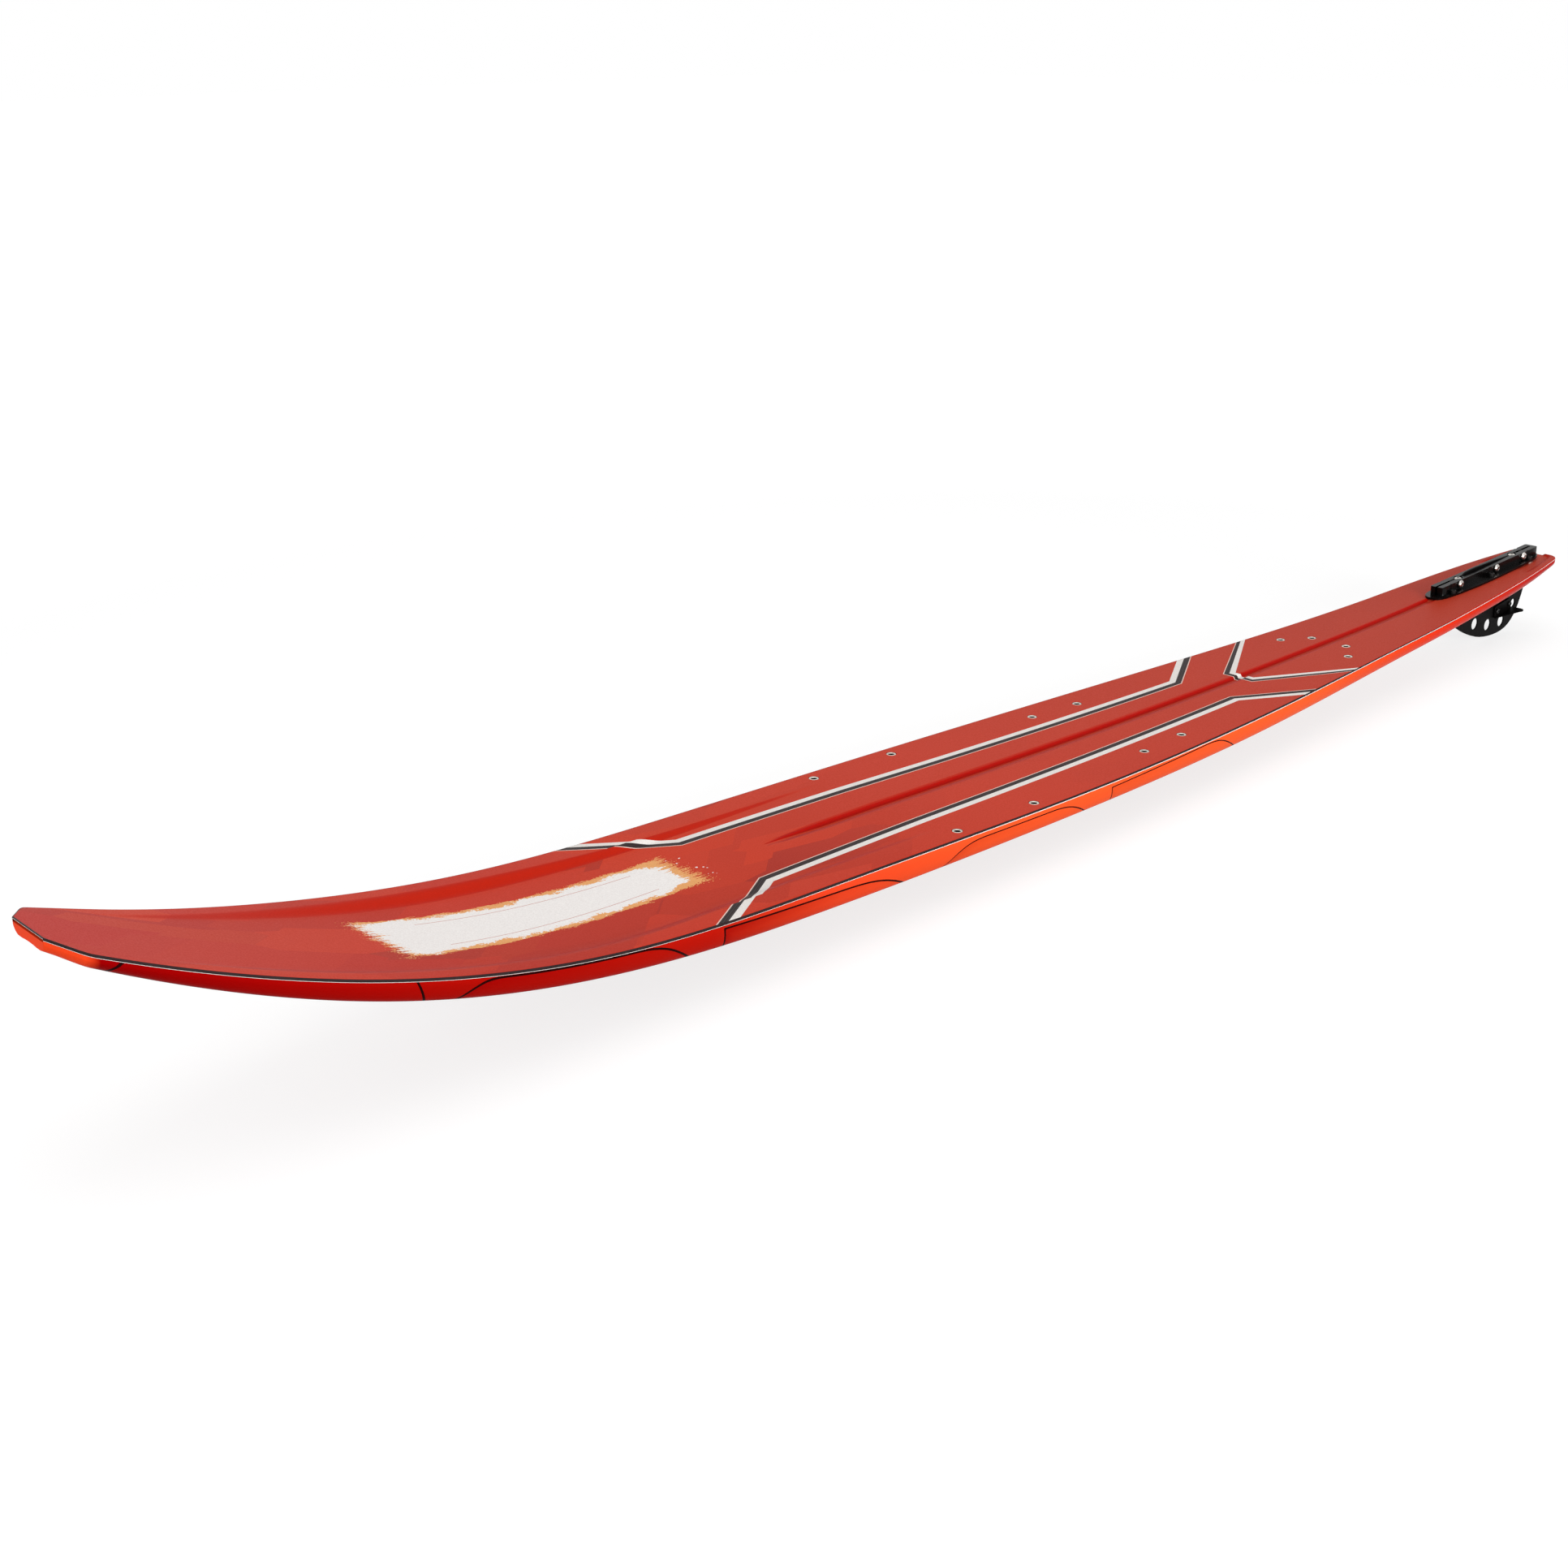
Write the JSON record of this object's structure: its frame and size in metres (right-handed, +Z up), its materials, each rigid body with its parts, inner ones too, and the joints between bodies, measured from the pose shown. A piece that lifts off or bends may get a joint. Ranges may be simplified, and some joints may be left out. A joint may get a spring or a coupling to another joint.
{
  "type": "slalom water ski",
  "caption": "Single slalom water ski with a squared nose, recessed forebody, centre groove, threaded binding inserts, and an adjustable fin block holding a drilled fin with a small wing.",
  "frame": {"origin": "centre of the box in X and Y, and the lowest point of the fin in Z", "axes": "+Y from the nose to the tail, +Z up out of the deck, +X to the side of the clamp screw heads"},
  "size_m": [0.1806, 1.695, 0.165],
  "materials": {
    "deck_laminate": "matt textured red laminate",
    "base_laminate": "glossy orange-red laminate",
    "core_foam": "closed-cell foam",
    "insert_steel": "plain threaded insert",
    "block_aluminium": "black anodised",
    "black_screw": "black oxide",
    "stainless": "bright stainless",
    "fin_aluminium": "black anodised",
    "wing_fastener": "dark steel"
  },
  "bodies": {
    "ski": {"deck_shell": "deck_laminate", "base_shell": "base_laminate", "foam_core": "core_foam", "binding_insert_01": "insert_steel", "binding_insert_02": "insert_steel", "binding_insert_03": "insert_steel", "binding_insert_04": "insert_steel", "binding_insert_05": "insert_steel", "binding_insert_06": "insert_steel", "binding_insert_07": "insert_steel", "binding_insert_08": "insert_steel", "binding_insert_09": "insert_steel", "binding_insert_10": "insert_steel", "binding_insert_11": "insert_steel", "binding_insert_12": "insert_steel", "fin_block": "block_aluminium", "block_screw_1": "black_screw", "block_screw_2": "black_screw", "block_screw_3": "black_screw", "block_screw_4": "black_screw", "block_screw_5": "black_screw", "block_screw_6": "black_screw", "block_insert_1": "insert_steel", "block_insert_2": "insert_steel", "block_insert_3": "insert_steel", "block_insert_4": "insert_steel", "block_insert_5": "insert_steel", "block_insert_6": "insert_steel"},
    "depth_nuts": {"depth_nut_1": "stainless", "depth_nut_2": "stainless"},
    "fin": {"fin": "fin_aluminium", "wing_screw_front": "wing_fastener", "wing_nut_front": "wing_fastener"},
    "wing": {"wing_left": "fin_aluminium", "wing_right": "fin_aluminium", "wing_screw_rear": "wing_fastener", "wing_nut_rear": "wing_fastener"},
    "clamp_screw_1": {"clamp_screw_1": "stainless"},
    "clamp_screw_2": {"clamp_screw_2": "stainless"},
    "clamp_screw_3": {"clamp_screw_3": "stainless"},
    "depth_screw_1": {"depth_screw_1": "stainless"},
    "depth_screw_2": {"depth_screw_2": "stainless"}
  },
  "joints": [
    {"name": "fin_depth", "type": "slide", "parent": "ski", "child": "depth_nuts", "axis": [0, -0.0533, 0.9986], "range_m": [-0.0012, 0.0012]},
    {"name": "fin_length", "type": "slide", "parent": "depth_nuts", "child": "fin", "axis": [0, 0.9986, 0.0533], "range_m": [-0.0012, 0.0012]},
    {"name": "wing_angle", "type": "hinge", "parent": "fin", "child": "wing", "pos_m": [0, 0.7707, 0.02621], "axis": [1, 0, 0], "range_deg": [-3, 3]},
    {"name": "clamp_screw_1_turn", "type": "hinge", "parent": "ski", "child": "clamp_screw_1", "pos_m": [0, 0.80357, 0.08158], "axis": [1, 0, 0], "range_deg": [0, 360]},
    {"name": "clamp_screw_2_turn", "type": "hinge", "parent": "ski", "child": "clamp_screw_2", "pos_m": [0, 0.74805, 0.07861], "axis": [1, 0, 0], "range_deg": [0, 360]},
    {"name": "clamp_screw_3_turn", "type": "hinge", "parent": "ski", "child": "clamp_screw_3", "pos_m": [0, 0.67615, 0.07477], "axis": [1, 0, 0], "range_deg": [0, 360]},
    {"name": "depth_screw_1_turn", "type": "hinge", "parent": "ski", "child": "depth_screw_1", "pos_m": [0, 0.79203, 0.08216], "axis": [0, -0.0533, 0.9986], "range_deg": [-618, 618]},
    {"name": "depth_screw_2_turn", "type": "hinge", "parent": "ski", "child": "depth_screw_2", "pos_m": [0, 0.68348, 0.07637], "axis": [0, -0.0533, 0.9986], "range_deg": [-618, 618]}
  ],
  "couplings": [
    {"joint": "depth_screw_1_turn", "follows": "fin_depth", "rad_per_m": 8976},
    {"joint": "depth_screw_2_turn", "follows": "fin_depth", "rad_per_m": 8976}
  ]
}
